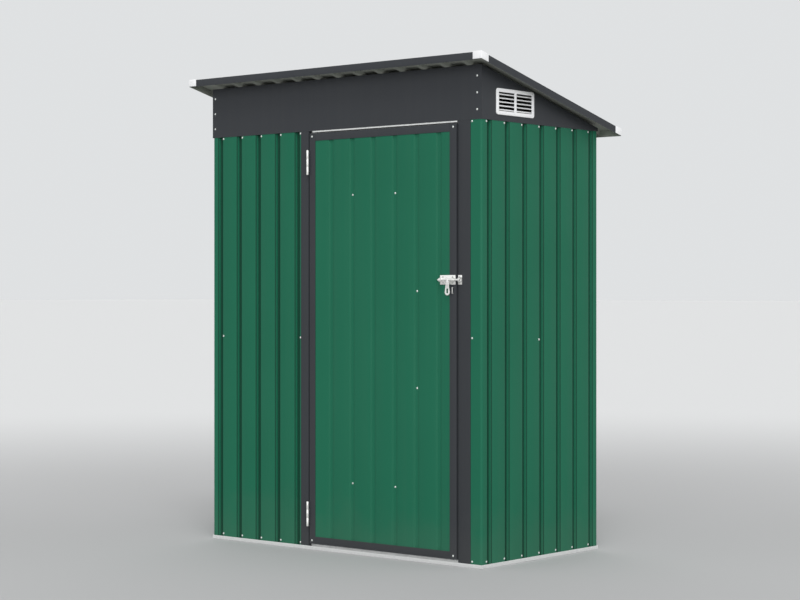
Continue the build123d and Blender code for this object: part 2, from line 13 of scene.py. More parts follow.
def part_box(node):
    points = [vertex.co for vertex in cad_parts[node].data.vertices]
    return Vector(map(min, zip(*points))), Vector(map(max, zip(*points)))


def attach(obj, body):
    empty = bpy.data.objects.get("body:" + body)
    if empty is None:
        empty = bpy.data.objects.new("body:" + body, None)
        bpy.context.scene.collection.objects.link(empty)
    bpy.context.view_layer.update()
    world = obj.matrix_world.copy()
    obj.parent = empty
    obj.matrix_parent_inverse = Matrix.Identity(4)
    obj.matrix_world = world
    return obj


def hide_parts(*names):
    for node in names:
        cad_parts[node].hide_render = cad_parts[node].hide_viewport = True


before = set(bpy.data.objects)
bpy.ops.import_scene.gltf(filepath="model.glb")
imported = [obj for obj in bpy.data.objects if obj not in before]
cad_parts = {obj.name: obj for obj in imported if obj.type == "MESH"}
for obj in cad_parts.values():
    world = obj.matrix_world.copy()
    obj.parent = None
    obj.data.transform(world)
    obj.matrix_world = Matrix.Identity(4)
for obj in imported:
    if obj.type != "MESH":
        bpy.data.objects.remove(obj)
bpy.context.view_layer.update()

# Lengths are in metres, in the frame of the solids: X along the front, -Y the side with the door, Z up.
IMAGE_WIDTH, IMAGE_HEIGHT = 800, 600
# The face attribute that says where the wall sheets get painted shade in their folds
PAINTED_SHADE_ATTRIBUTE = "painted_fold_shade"
Colour = tuple[float, float, float]
Piece = bpy.types.Object
Edge, Face = bmesh.types.BMEdge, bmesh.types.BMFace
Socket = bpy.types.NodeSocket
Sockets = dict[str, Socket]

# Corners nearer than this are one, faces that turn less are flat, and wider faces are no part of a fillet
MERGE_DISTANCE = 1e-5
FLATNESS = math.radians(0.4)
FILLET_WIDTH = 0.00065

# Turns between two faces: the shallowest and the sharpest bend, and the least turn at a rim
SHALLOWEST_BEND, SHARPEST_BEND = math.radians(25), math.radians(120)
RIM_TURN = math.radians(60)

# Parts of a face's normal along an axis: it leans to that side, looks mostly along it, or fully, or exactly
LEANING, MOSTLY, FULLY, EXACTLY = 0.2, 0.5, 0.9, 0.999
TO_FRONT, TO_RIGHT = Vector((0, -1, 0)), Vector((1, 0, 0))

# The inner side of the trims is further than this from the middle, and knuckles reach back this far
NEAREST_TRIM, KNUCKLE_DEPTH = 0.05, 0.0091
HINGE_NODES = ("upper_hinge_post_leaf", "lower_hinge_post_leaf")

log = logging.getLogger("tool_shed")


class Body(Enum):
    """The bodies that pieces ride on."""

    SHED = "shed"
    DOOR = "door"
    BOLT = "bolt"


class Slot(Enum):
    """The material slots that the lists of pieces name."""

    GREEN = "green_sheet"
    GREY = "grey_steel"
    ZINC = "galvanised"
    PLASTIC = "white_plastic"
    HARDWARE = "zinc_hardware"


class Pick(Enum):
    """What an edit-mode selection is made of."""

    FACES = "FACE"
    EDGES = "EDGE"


# Working at the bench: selecting, rounding, copying, joining


def deselect_all() -> None:
    """Clears the selection, because the loaded solids are still selected."""
    for thing in list(bpy.context.selected_objects):
        thing.select_set(False)


def take(piece: Piece) -> None:
    """Makes a piece the only selected one, and the active one.

    Args:
        piece: the object to work on.
    """
    deselect_all()
    piece.select_set(True)
    bpy.context.view_layer.objects.active = piece


@contextmanager
def editing(piece: Piece) -> Iterator[None]:
    """Opens a piece in edit mode with nothing selected, and closes it again.

    Args:
        piece: the mesh object to edit.
    """
    take(piece)
    bpy.ops.object.mode_set(mode="EDIT")
    bpy.ops.mesh.select_all(action="DESELECT")
    try:
        yield
    finally:
        bpy.ops.object.mode_set(mode="OBJECT")


def select(piece: Piece, kind: Pick, wanted: Callable[[Any], bool]) -> int:
    """Selects faces or edges of the piece that is open in edit mode.

    Args:
        piece: the mesh object in edit mode.
        kind: whether faces or edges are selected.
        wanted: says of one bmesh face or edge whether it is selected.

    Returns:
        How many were selected.
    """
    bpy.ops.mesh.select_mode(type=kind.value)
    bpy.ops.mesh.select_all(action="DESELECT")
    mesh = bmesh.from_edit_mesh(piece.data)
    mesh.normal_update()
    found = [part for part in (mesh.faces if kind is Pick.FACES else mesh.edges) if wanted(part)]
    for part in found:
        part.select_set(True)
    mesh.select_flush_mode()
    bmesh.update_edit_mesh(piece.data)
    return len(found)


def round_edges(piece: Piece, wanted: Callable[[Edge], bool], radius: float, segments: int) -> None:
    """Rounds the wanted edges of the piece that is open in edit mode, with a few faces each."""
    if select(piece, Pick.EDGES, wanted):
        bpy.ops.mesh.bevel(offset=radius, segments=segments, affect="EDGES")


def face_width(face: Face) -> float:
    """How wide a long face is: its area over its longest edge."""
    return face.calc_area() / max(edge.calc_length() for edge in face.edges)


def lies_at(edge: Edge, axis: int, place: float) -> bool:
    """Says whether both ends of an edge are at a place along an axis."""
    return all(abs(point.co[axis] - place) < MERGE_DISTANCE for point in edge.verts)


def add_object(name: str, data: bpy.types.ID) -> Piece:
    """Adds an object to the scene, at the origin.

    Args:
        name: its name.
        data: its mesh, lamp or camera.

    Returns:
        The object.
    """
    thing = bpy.data.objects.new(name, data)
    bpy.context.scene.collection.objects.link(thing)
    return thing


def copy_solid(node: str, name: str) -> Piece:
    """Copies a loaded solid as a new piece, with shared corners and one face for each flat.

    Args:
        node: the name of the solid.
        name: the name of the new piece.

    Returns:
        The new piece, with no material.
    """
    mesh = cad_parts[node].data.copy()
    mesh.name = name
    mesh.materials.clear()
    piece = add_object(name, mesh)
    take(piece)
    bpy.ops.mesh.customdata_custom_splitnormals_clear()
    with editing(piece):
        bpy.ops.mesh.select_all(action="SELECT")
        bpy.ops.mesh.remove_doubles(threshold=MERGE_DISTANCE)
        select(piece, Pick.FACES, lambda face: face_width(face) > FILLET_WIDTH)
        bpy.ops.mesh.dissolve_limited(angle_limit=FLATNESS)
    return piece


def join(parts: Sequence[Piece], name: str) -> Piece:
    """Joins several objects as one piece.

    Args:
        parts: the objects, of which the first takes up the others.
        name: the name of the joined piece.

    Returns:
        The joined piece.
    """
    deselect_all()
    for part in parts:
        part.select_set(True)
    bpy.context.view_layer.objects.active = parts[0]
    bpy.ops.object.join()
    parts[0].name = name
    return parts[0]


def copy_to(original: Piece, places: Sequence[Matrix], name: str) -> Piece:
    """Copies a shape to many places and joins the copies as one piece.

    Args:
        original: the shape, of which the mesh is copied.
        places: where each copy goes.
        name: the name of the joined piece.

    Returns:
        The joined piece, its object at the origin.
    """
    copies = []
    for place in places:
        mesh = original.data.copy()
        mesh.transform(place)
        copies.append(add_object(name, mesh))
    return join(copies, name)


def apply_place(piece: Piece) -> None:
    """Moves a piece's place and turn into its mesh, so that its object sits at the origin."""
    take(piece)
    bpy.ops.object.transform_apply(location=True, rotation=True, scale=True)


def smooth(piece: Piece, angle: float = math.radians(35)) -> None:
    """Shades a piece smooth except over edges sharper than the angle."""
    take(piece)
    bpy.ops.object.shade_smooth_by_angle(angle=angle)


def remove(piece: Piece) -> None:
    """Deletes a pattern or a cutter that has done its work."""
    bpy.data.objects.remove(piece, do_unlink=True)


def block(name: str, centre: Vector, size: Sequence[float], turn: float = 0.0) -> Piece:
    """Adds a block to shape further or to cut with.

    Args:
        name: its name.
        centre: its middle.
        size: its lengths along X, Y and Z.
        turn: its turn about Z.

    Returns:
        The block, its object at the origin.
    """
    deselect_all()
    bpy.ops.mesh.primitive_cube_add(size=1, location=centre, rotation=(0, 0, turn))
    piece = bpy.context.active_object
    piece.name = name
    piece.scale = size
    apply_place(piece)
    return piece


def cut_out(piece: Piece, cutter: Piece) -> None:
    """Cuts the shape of a cutter out of a piece, and deletes the cutter.

    Args:
        piece: what is cut.
        cutter: the shape to take away.
    """
    take(piece)
    cut = piece.modifiers.new("cut", "BOOLEAN")
    cut.operation = "DIFFERENCE"
    cut.solver = "EXACT"
    cut.object = cutter
    bpy.ops.object.modifier_apply(modifier=cut.name)
    remove(cutter)


def middle(node: str) -> Vector:
    """Gives the middle of a solid's box."""
    low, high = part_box(node)
    return (low + high) / 2


def mount(piece: Piece, body: Body, replaced: Sequence[str] = ()) -> None:
    """Makes a finished piece ride on its body and reports it.

    Args:
        piece: the finished piece.
        body: the body that it rides on.
        replaced: the solids that it stands for.
    """
    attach(piece, body.value)
    if replaced:
        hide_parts(*replaced)
    log.info("%s: %d faces on %s", piece.name, len(piece.data.polygons), body.value)


# Shader graphs


# The sockets of a Mix node for colours, by their numbers, and how far apart nodes stand in the editor
MIX_FACTOR, MIX_FIRST, MIX_SECOND, MIX_RESULT = 0, 6, 7, 2
NODE_SPACING = 220


class Graph:
    """Adds nodes to a node tree and joins them."""

    def __init__(self, tree: bpy.types.NodeTree) -> None:
        """Starts with an empty tree."""
        self.tree = tree
        self.tree.nodes.clear()

    def add(self, kind: str, inputs: dict[Any, Any] | None = None, **settings: Any) -> bpy.types.Node:
        """Adds a node.

        Args:
            kind: the node's type name, without the ShaderNode before it.
            inputs: a value or another node's output for each named or numbered input.
            **settings: the node's own settings.

        Returns:
            The new node.
        """
        name = kind if kind.startswith("NodeGroup") else f"ShaderNode{kind}"
        node = self.tree.nodes.new(name)
        node.location = (NODE_SPACING * len(self.tree.nodes), 0)
        for setting, value in settings.items():
            setattr(node, setting, value)
        for key, value in (inputs or {}).items():
            socket = node.inputs[key]
            if isinstance(value, Socket):
                self.tree.links.new(value, socket)
            else:
                socket.default_value = value
        return node

    def math(self, operation: str, *values: Any) -> Socket:
        """Works out a sum, product or the like of values and numbers."""
        return self.add("Math", dict(enumerate(values)), operation=operation).outputs[0]

    def ramp(self, value: Socket, low: float, high: float) -> Socket:
        """Stretches a value so that low becomes 0 and high becomes 1, smoothly."""
        inputs = {"Value": value, "From Min": low, "From Max": high}
        return self.add("MapRange", inputs, interpolation_type="SMOOTHSTEP").outputs["Result"]

    def spread(self, share: Socket, base: float, under: float, over: float) -> Socket:
        """Turns a share of 0 to 1 into values that start under a base value and end over it."""
        inputs = {"Value": share, "To Min": base - under, "To Max": base + over}
        return self.add("MapRange", inputs).outputs["Result"]

    def noise(self, places: Socket, scale: Any, detail: float) -> Socket:
        """Draws a cloudy value."""
        return self.add("TexNoise", {"Vector": places, "Scale": scale, "Detail": detail}).outputs["Fac"]

    def bump(self, height: Socket, strength: float, distance: float) -> Socket:
        """Turns heights into normals."""
        inputs = {"Height": height, "Strength": strength, "Distance": distance}
        return self.add("Bump", inputs).outputs["Normal"]

    def blend(self, factor: Any, first: Any, second: Any) -> Socket:
        """Mixes two colours, tuples or outputs of nodes: a factor of 0 gives the first, 1 the second."""
        first, second = ((*part, 1) if isinstance(part, tuple) else part for part in (first, second))
        inputs = {MIX_FACTOR: factor, MIX_FIRST: first, MIX_SECOND: second}
        return self.add("Mix", inputs, data_type="RGBA").outputs[MIX_RESULT]


@dataclass(frozen=True)
class Effect:
    """A shared effect: a node group, built once, that reads places and a number and gives values."""

    name: str
    number: str
    draw: Callable[[Graph, Any], Sockets]

    def group(self) -> bpy.types.NodeTree:
        """Gives the group, building it the first time.

        Returns:
            The node group.
        """
        if self.name in bpy.data.node_groups:
            return bpy.data.node_groups[self.name]
        tree = bpy.data.node_groups.new(self.name, "ShaderNodeTree")
        tree.interface.new_socket("Vector", in_out="INPUT", socket_type="NodeSocketVector")
        tree.interface.new_socket(self.number, in_out="INPUT", socket_type="NodeSocketFloat")
        graph = Graph(tree)
        values = self.draw(graph, graph.add("NodeGroupInput").outputs)
        for name in values:
            tree.interface.new_socket(name, in_out="OUTPUT", socket_type="NodeSocketFloat")
        graph.add("NodeGroupOutput", values)
        return tree

    def place(self, graph: Graph, inputs: dict[str, Any]) -> Any:
        """Adds the effect to a material's graph, and gives its outputs."""
        return graph.add("Group", inputs, node_tree=self.group()).outputs


def draw_grain(graph: Graph, entry: Any) -> Sockets:
    """Draws the fine orange peel of a coating and its slow cloudiness.

    Args:
        graph: the group's graph.
        entry: its inputs.

    Returns:
        Height for a bump, and Cloud between 0 and 1.
    """
    fine = graph.noise(entry["Vector"], entry["Scale"], detail=2.0)
    cloud = graph.noise(entry["Vector"], scale=2.3, detail=4.0)
    return {"Height": fine, "Cloud": graph.ramp(cloud, low=0.3, high=0.7)}


def draw_weather(graph: Graph, entry: Any) -> Sockets:
    """Draws what rain and splashes leave: dust near the ground and faint upright streaks.

    Args:
        graph: the group's graph.
        entry: its inputs.

    Returns:
        Dust and Streak, each between 0 and 1.
    """
    level = graph.add("SeparateXYZ", {"Vector": entry["Vector"]}).outputs["Z"]
    mottled = graph.noise(entry["Vector"], scale=9.0, detail=6.0)
    share = graph.math("DIVIDE", level, graph.math("MULTIPLY", mottled, entry["Dust Height"]))
    upright = graph.add("Mapping", {"Vector": entry["Vector"], "Scale": (38.0, 38.0, 0.9)})
    streaks = graph.noise(upright.outputs["Vector"], scale=1.0, detail=5.0)
    streak = graph.ramp(streaks, low=0.42, high=0.72)
    return {"Dust": graph.ramp(share, low=2.2, high=0.1), "Streak": streak}


def draw_spangle(graph: Graph, entry: Any) -> Sockets:
    """Draws the crystals of hot-dip zinc.

    Args:
        graph: the group's graph.
        entry: its inputs.

    Returns:
        Crystal, a different value between 0 and 1 for each crystal, and Edge, 1 on their borders.
    """
    cells = {"Vector": entry["Vector"], "Scale": entry["Scale"]}
    crystals = graph.add("TexVoronoi", cells).outputs["Color"]
    borders = graph.add("TexVoronoi", cells, feature="DISTANCE_TO_EDGE").outputs["Distance"]
    tone = graph.add("SeparateColor", {"Color": crystals}).outputs["Red"]
    return {"Crystal": tone, "Edge": graph.ramp(borders, low=0.06, high=0.0)}


GRAIN = Effect("coating_grain", "Scale", draw_grain)
WEATHER = Effect("weather_marks", "Dust Height", draw_weather)
SPANGLE = Effect("zinc_spangle", "Scale", draw_spangle)


# Finishes


@dataclass(frozen=True)
class Finish:
    """A surface finish that builds its own material, once."""

    name: str
    colour: Colour
    roughness: float
    specular: float = 0.5

    def shade(self, share: float) -> Colour:
        """Gives a darker shade of the finish: a share of its colour."""
        return tuple(part * share for part in self.colour)

    def paint(self, graph: Graph, vector: Socket) -> dict[str, Any]:
        """Draws the finish.

        Args:
            graph: the material's graph.
            vector: object coordinates.

        Returns:
            The inputs of the Principled shader.
        """
        raise NotImplementedError

    def material(self) -> bpy.types.Material:
        """Gives the material, building it the first time.

        Returns:
            The material.
        """
        if self.name in bpy.data.materials:
            return bpy.data.materials[self.name]
        material = bpy.data.materials.new(self.name)
        material.use_nodes = True
        graph = Graph(material.node_tree)
        inputs = self.paint(graph, graph.add("TexCoord").outputs["Object"])
        shader = graph.add("BsdfPrincipled", {"Specular IOR Level": self.specular, **inputs})
        graph.add("OutputMaterial", {"Surface": shader.outputs["BSDF"]})
        material.diffuse_color = (*self.colour, 1)
        return material

    def dress(self, piece: Piece) -> None:
        """Gives a piece this finish all over."""
        piece.data.materials.clear()
        piece.data.materials.append(self.material())


@dataclass(frozen=True)
class CoatedSteel(Finish):
    """Coil-coated steel: satin paint with orange peel, faint streaks and dust near the ground, and painted
    shade where faces are marked as folds.
    """

    deep: float = 0.96
    dust: Colour = (0.20, 0.19, 0.16)
    dust_share: float = 0.07
    dust_height: float = 0.22
    dust_roughness: float = 1.5
    streak_share: float = 0.012
    peel: float = 0.05
    # Painted shade in the folds: how far marked faces blend towards a darker share of the colour, and that
    # share
    painted_shade_share: float = 0.62
    painted_shade_tone: float = 0.06

    def paint(self, graph: Graph, vector: Socket) -> dict[str, Any]:
        """Draws the coating.

        Args:
            graph: the material's graph.
            vector: object coordinates.

        Returns:
            The inputs of the Principled shader.
        """
        grain = GRAIN.place(graph, {"Vector": vector, "Scale": 700.0})
        weather = WEATHER.place(graph, {"Vector": vector, "Dust Height": self.dust_height})
        # Painted shade: faces marked as groove lips and bottoms turn darker
        folds = graph.add("Attribute", attribute_name=PAINTED_SHADE_ATTRIBUTE).outputs["Fac"]
        streaky = graph.math("MULTIPLY", weather["Streak"], self.streak_share)
        dusty = graph.math("MULTIPLY", weather["Dust"], self.dust_share)
        folded = graph.math("MULTIPLY", folds, self.painted_shade_share)
        colour = graph.blend(grain["Cloud"], self.colour, self.shade(self.deep))
        colour = graph.blend(streaky, colour, self.dust)
        colour = graph.blend(dusty, colour, self.dust)
        # Painted shade in the folds
        colour = graph.blend(folded, colour, self.shade(self.painted_shade_tone))
        worn = graph.spread(grain["Cloud"], self.roughness, under=0.04, over=0.05)
        rough = graph.math("MULTIPLY_ADD", dusty, self.dust_roughness, worn)
        normal = graph.bump(grain["Height"], self.peel, distance=0.0004)
        return {"Base Color": colour, "Roughness": rough, "Normal": normal}


@dataclass(frozen=True)
class Galvanised(Finish):
    """Hot-dip galvanised steel with its spangle."""

    dull: Colour = (0.57, 0.585, 0.585)
    deep: float = 0.93
    metallic: float = 0.35

    def paint(self, graph: Graph, vector: Socket) -> dict[str, Any]:
        """Draws the zinc.

        Args:
            graph: the material's graph.
            vector: object coordinates.

        Returns:
            The inputs of the Principled shader.
        """
        spangle = SPANGLE.place(graph, {"Vector": vector, "Scale": 95.0})
        grain = GRAIN.place(graph, {"Vector": vector, "Scale": 500.0})
        tone = graph.spread(spangle["Crystal"], 0.0, under=0.0, over=0.55)
        colour = graph.blend(tone, self.colour, self.dull)
        return {
            "Base Color": graph.blend(grain["Cloud"], colour, self.shade(self.deep)),
            "Metallic": self.metallic,
            "Roughness": graph.spread(spangle["Crystal"], self.roughness, under=0.08, over=0.08),
            "Normal": graph.bump(spangle["Edge"], strength=0.08, distance=0.0003),
        }


@dataclass(frozen=True)
class ZincPlate(Finish):
    """Bright zinc plate on small hardware, with fine rolling lines."""

    tarnish: Colour = (0.42, 0.41, 0.38)
    tarnish_share: float = 0.35
    line_scale: Colour = (120.0, 900.0, 2600.0)
    metallic: float = 0.5

    def paint(self, graph: Graph, vector: Socket) -> dict[str, Any]:
        """Draws the plating.

        Args:
            graph: the material's graph.
            vector: object coordinates.

        Returns:
            The inputs of the Principled shader.
        """
        lines = graph.add("Mapping", {"Vector": vector, "Scale": self.line_scale}).outputs["Vector"]
        rolled = graph.noise(lines, scale=1.0, detail=3.0)
        patches = graph.ramp(graph.noise(vector, scale=60.0, detail=4.0), low=0.5, high=0.75)
        stain = graph.math("MULTIPLY", patches, self.tarnish_share)
        return {
            "Base Color": graph.blend(stain, self.colour, self.tarnish),
            "Metallic": self.metallic,
            "Roughness": graph.spread(rolled, self.roughness, under=0.08, over=0.1),
            "Normal": graph.bump(rolled, strength=0.06, distance=0.0002),
        }


@dataclass(frozen=True)
class MouldedPlastic(Finish):
    """Moulded plastic with a fine texture and a little grime."""

    grime: Colour = (0.45, 0.44, 0.40)
    grime_share: float = 0.12

    def paint(self, graph: Graph, vector: Socket) -> dict[str, Any]:
        """Draws the plastic.

        Args:
            graph: the material's graph.
            vector: object coordinates.

        Returns:
            The inputs of the Principled shader.
        """
        grain = GRAIN.place(graph, {"Vector": vector, "Scale": 1300.0})
        patches = graph.ramp(graph.noise(vector, scale=28.0, detail=5.0), low=0.45, high=0.8)
        share = graph.math("MULTIPLY", patches, self.grime_share)
        return {
            "Base Color": graph.blend(share, self.colour, self.grime),
            "Roughness": graph.spread(grain["Cloud"], self.roughness, under=0.05, over=0.05),
            "Normal": graph.bump(grain["Height"], strength=0.08, distance=0.0002),
        }


GREEN_PAINT = CoatedSteel("green_coated_steel", (0.0105, 0.129, 0.071), 0.5, specular=0.15)
GREY_PAINT = CoatedSteel("grey_coated_steel", (0.039, 0.0425, 0.048), 0.5, specular=0.15, dust_share=0.04)
BACKING_COAT = CoatedSteel("backing_coat", (0.34, 0.36, 0.32), 0.6, specular=0.2)
GALVANISED = Galvanised("galvanised_steel", (0.77, 0.78, 0.775), 0.45)
# Painted shade: a darker copy of the galvanised steel for the top rails, which lie in shade inside the shed
SHADED_INNER_ZINC = Galvanised("shaded_inner_galvanised_steel", (0.34, 0.35, 0.35), 0.5, dull=(0.25, 0.26, 0.26))
ZINC_PLATE = ZincPlate("zinc_plate", (0.82, 0.82, 0.80), 0.36)
WHITE_PLASTIC = MouldedPlastic("white_plastic", (0.92, 0.925, 0.92), 0.45)
SCREW_ZINC = ZincPlate("screw_zinc", (0.74, 0.77, 0.75), 0.38)
DULL_SCREW_ZINC = ZincPlate("dull_screw_zinc", (0.40, 0.41, 0.40), 0.42)


# Sheets, folded steel, caps and hardware


@dataclass(frozen=True)
class Bends:
    """Which edges of a solid are bends, and how they are rounded."""

    radius: float = 0.0012
    segments: int = 2
    sheet_edge: float = 0.0024
    shortest: float = 0.012

    def include(self, edge: Edge) -> bool:
        """Says whether an edge is a bend between two flats, and not the rim of a sheet."""
        return (
            len(edge.link_faces) == 2
            and edge.calc_length() >= self.shortest
            and SHALLOWEST_BEND < edge.calc_face_angle(0.0) < SHARPEST_BEND
            and all(face_width(face) > self.sheet_edge for face in edge.link_faces)
        )


WALL_RIBS = Bends(radius=0.0026, segments=3, sheet_edge=0.0015)
SHEET_RIBS = Bends(radius=0.0016, segments=3, sheet_edge=0.0015)
POST_BENDS = Bends(radius=0.0005)
CAP_EDGES = Bends(radius=0.0018, segments=3, sheet_edge=0.0025)
POST_LEAF_EDGES = Bends(radius=0.00025, sheet_edge=0.0, shortest=0.0)
PLATE_EDGES = Bends(radius=0.0004, sheet_edge=0.0, shortest=0.0)
ROD_EDGES = Bends(radius=0.0004, segments=3, sheet_edge=0.0, shortest=0.0)


@dataclass
class FormedPieces:
    """Pieces shaped as their solids are, with rounded bends and edges in place of sharp ones."""

    nodes: Sequence[str]
    body: Body
    slot: Slot
    finish: Finish
    bends: Bends = Bends()
    plain_sheet: bool = False
    inside: Finish | None = None
    inside_faces: Callable[[Vector, Vector], bool] | None = None
    # Gives each face its share of painted shade in the folds, where the sheets have some
    painted_fold_shade: Callable[[Vector, Vector], float] | None = None
    pieces: list[Piece] = field(default_factory=list)

    def is_rim(self, face: Face) -> bool:
        """Says whether a face belongs to the rim of a sheet: narrow, and square to the two sides."""
        longest = max(edge.calc_length() for edge in face.edges)
        return face_width(face) <= self.bends.sheet_edge and any(
            edge.calc_face_angle(0.0) > RIM_TURN for edge in face.edges if edge.calc_length() > longest / 2
        )

    def build(self) -> None:
        """Copies each solid and rounds its bends, with the rim of a plain sheet open meanwhile."""
        for node in self.nodes:
            piece = copy_solid(node, f"{node}_formed")
            self.coat(piece)
            with editing(piece):
                if self.plain_sheet:
                    select(piece, Pick.FACES, self.is_rim)
                    bpy.ops.mesh.delete(type="FACE")
                round_edges(piece, self.bends.include, self.bends.radius, self.bends.segments)
                if self.plain_sheet:
                    self.close_rim(piece)
            smooth(piece)
            self.pieces.append(piece)

    def close_rim(self, piece: Piece) -> None:
        """Joins the two sides of a sheet again all along its rim, in the outer finish.

        Args:
            piece: the sheet, open in edit mode.
        """
        select(piece, Pick.EDGES, lambda edge: edge.is_boundary)
        bpy.ops.mesh.bridge_edge_loops()
        piece.active_material_index = 0
        bpy.ops.object.material_slot_assign()
        bpy.ops.mesh.select_all(action="SELECT")
        bpy.ops.mesh.normals_make_consistent(inside=False)

    def coat(self, piece: Piece) -> None:
        """Gives a piece its finish, and its flats inside theirs, which the bends then take over.

        Args:
            piece: the piece, before its bends are rounded.
        """
        self.finish.dress(piece)
        if self.inside is None or self.inside_faces is None:
            return
        piece.data.materials.append(self.inside.material())
        for face in piece.data.polygons:
            face.material_index = int(self.inside_faces(face.center, face.normal))

    def dress(self) -> None:
        """Paints shade into the folds where there are some, and mounts the pieces."""
        for node, piece in zip(self.nodes, self.pieces):
            if self.painted_fold_shade is not None:
                shades = [self.painted_fold_shade(face.center, face.normal) for face in piece.data.polygons]
                layer = piece.data.attributes.new(PAINTED_SHADE_ATTRIBUTE, "FLOAT", "FACE")
                layer.data.foreach_set("value", shades)
            mount(piece, self.body, [node])


@dataclass
class WallFaces:
    """Tells the weather side of the wall sheets from their inner side, and finds the folds that get painted
    shade.
    """

    half_width: float
    half_depth: float
    reach: float = 0.02
    groove_depth: float = 0.0135
    # How near a face must be to a lip or to a groove's bottom to get painted shade
    painted_shade_reach: float = 0.0035
    inward_turn: float = -0.1
    lip_turn: float = 0.25
    flat_turn: float = 0.99

    def outward(self, centre: Vector) -> Vector:
        """Gives the way out of the shed from a place on a wall sheet, along both walls at a corner.

        Args:
            centre: the place.

        Returns:
            The way, level, and longer than 1 at a corner.
        """
        ends = zip(centre.xy, (self.half_width, self.half_depth))
        ways = [math.copysign(1.0, at) if abs(at) > end - self.reach else 0.0 for at, end in ends]
        return Vector((*ways, 0.0))

    def inner(self, centre: Vector, normal: Vector) -> bool:
        """Says whether a face of a wall sheet looks into the shed."""
        return normal.dot(self.outward(centre)) < self.inward_turn

    def fold(self, centre: Vector, normal: Vector) -> float:
        """Says how much painted shade a face gets as part of a fold: the lips and the bottoms of the
        grooves.

        Args:
            centre: the middle of the face.
            normal: its normal.

        Returns:
            1, full painted shade, in a fold or at the bottom of a groove, otherwise 0.
        """
        way = self.outward(centre)
        if way.length > 1:
            return 0.0
        turned = normal.dot(way)
        edge = self.half_width if way.x else self.half_depth
        depth = edge - centre.dot(way)
        if depth > self.groove_depth - self.painted_shade_reach:
            return float(turned > self.lip_turn)
        return float(depth < self.painted_shade_reach and self.lip_turn < turned < self.flat_turn)


def below(_centre: Vector, normal: Vector) -> bool:
    """Says whether a face of a roof sheet looks down."""
    return normal.z < -LEANING


def behind(_centre: Vector, normal: Vector) -> bool:
    """Says whether a face of the door panel looks into the shed."""
    return normal.y > LEANING


def to_the_middle(centre: Vector, normal: Vector) -> bool:
    """Says whether a face of a trim, header or gable looks back to the middle of the shed, or down."""
    away = sum(turn * place for turn, place in zip(normal.xy, centre.xy) if abs(turn) > MOSTLY)
    return away < -NEAREST_TRIM or normal.z < -FULLY


def on_a_leaf(centre: Vector, normal: Vector) -> bool:
    """Says whether a face of a hinge belongs to a leaf, in the gap beside the door, not to a knuckle. The
    leaves take grey paint as painted shade in the gap.
    """
    return abs(normal.x) > EXACTLY or centre.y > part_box(HINGE_NODES[0])[0].y + KNUCKLE_DEPTH


# Vents


@dataclass
class LouvredVent:
    """A white air vent on a gable: a rounded frame with two windows of slanting blades."""

    node: str
    outward: float
    window_length: float = 0.095
    window_pitch: float = 0.105
    window_top: float = 0.0345
    window_foot: float = -0.0335
    corner: float = 0.010
    rim: float = 0.0016
    window_rim: float = 0.0005
    blade_count: int = 5
    blade_pitch: float = 0.0138
    first_blade: float = 0.0267
    blade_rise: float = 0.0052
    blade_reach: float = 0.0074
    blade_thickness: float = 0.0012
    blade_rounding: float = 0.4
    blade_front: float = 0.0004
    blade_seat: float = 0.001

    def __post_init__(self) -> None:
        """Reads the place of the vent from the frame."""
        low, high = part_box(self.node)
        self.centre = (low + high) / 2
        self.size = high - low
        self.front_x = high.x if self.outward > 0 else low.x

    def across(self, edge: Edge) -> bool:
        """Says whether an edge of the block runs from its back to its front."""
        return abs(edge.verts[0].co.x - edge.verts[1].co.x) > self.size.x / 2

    def on_front(self, edge: Edge) -> bool:
        """Says whether an edge lies on the front face, along its rim or that of a window."""
        return lies_at(edge, 0, self.front_x) and edge.calc_face_angle(0.0) > RIM_TURN

    def on_window(self, edge: Edge) -> bool:
        """Says whether an edge belongs to the front of a window."""
        place = (edge.verts[0].co + edge.verts[1].co) / 2 - self.centre
        return (
            self.on_front(edge)
            and abs(place.y) <= (self.window_pitch + self.window_length) / 2 + self.window_rim
            and self.window_foot - self.window_rim <= place.z <= self.window_top + self.window_rim
        )

    def on_outline(self, edge: Edge) -> bool:
        """Says whether an edge belongs to the outline of the front."""
        return self.on_front(edge) and not self.on_window(edge)

    def build_frame(self) -> Piece:
        """Shapes the frame from a block: round corners, two windows, a soft rim.

        Returns:
            The frame.
        """
        frame_piece = block(f"{self.node}_louvred", self.centre, self.size)
        with editing(frame_piece):
            round_edges(frame_piece, self.across, self.corner, segments=6)
        window_z = self.centre.z + (self.window_top + self.window_foot) / 2
        size = (3 * self.size.x, self.window_length, self.window_top - self.window_foot)
        for side in (-0.5, 0.5):
            place = Vector((self.centre.x, self.centre.y + side * self.window_pitch, window_z))
            cut_out(frame_piece, block("window", place, size))
        with editing(frame_piece):
            round_edges(frame_piece, self.on_outline, self.rim, segments=4)
            round_edges(frame_piece, self.on_window, self.window_rim, segments=2)
        return frame_piece

    def build_blades(self) -> Piece:
        """Models one blade, which slopes down and outwards, and copies it to its places.

        Returns:
            All the blades as one piece.
        """
        length = self.window_length + 2 * self.blade_seat
        chord = math.hypot(self.blade_rise, self.blade_reach)
        blade = block("blade", Vector((0, 0, 0)), (self.blade_thickness, length, chord))
        with editing(blade):
            rounding = self.blade_rounding * self.blade_thickness
            round_edges(blade, lambda edge: edge.calc_length() > length / 2, rounding, segments=2)
        slope = self.outward * math.atan2(self.blade_reach, self.blade_rise)
        depth = self.blade_front + (self.blade_reach + self.blade_thickness) / 2
        places = [
            Matrix.Translation((
                self.front_x - self.outward * depth,
                self.centre.y + side * self.window_pitch,
                self.centre.z + self.first_blade - row * self.blade_pitch,
            )) @ Matrix.Rotation(-slope, 4, "Y")
            for side in (-0.5, 0.5)
            for row in range(self.blade_count)
        ]
        blades = copy_to(blade, places, f"{self.node}_blades")
        remove(blade)
        return blades

    def build(self) -> None:
        """Builds the vent and dresses it."""
        for piece in (self.build_frame(), self.build_blades()):
            smooth(piece)
            WHITE_PLASTIC.dress(piece)
            mount(piece, Body.SHED, [self.node])


# Hinges


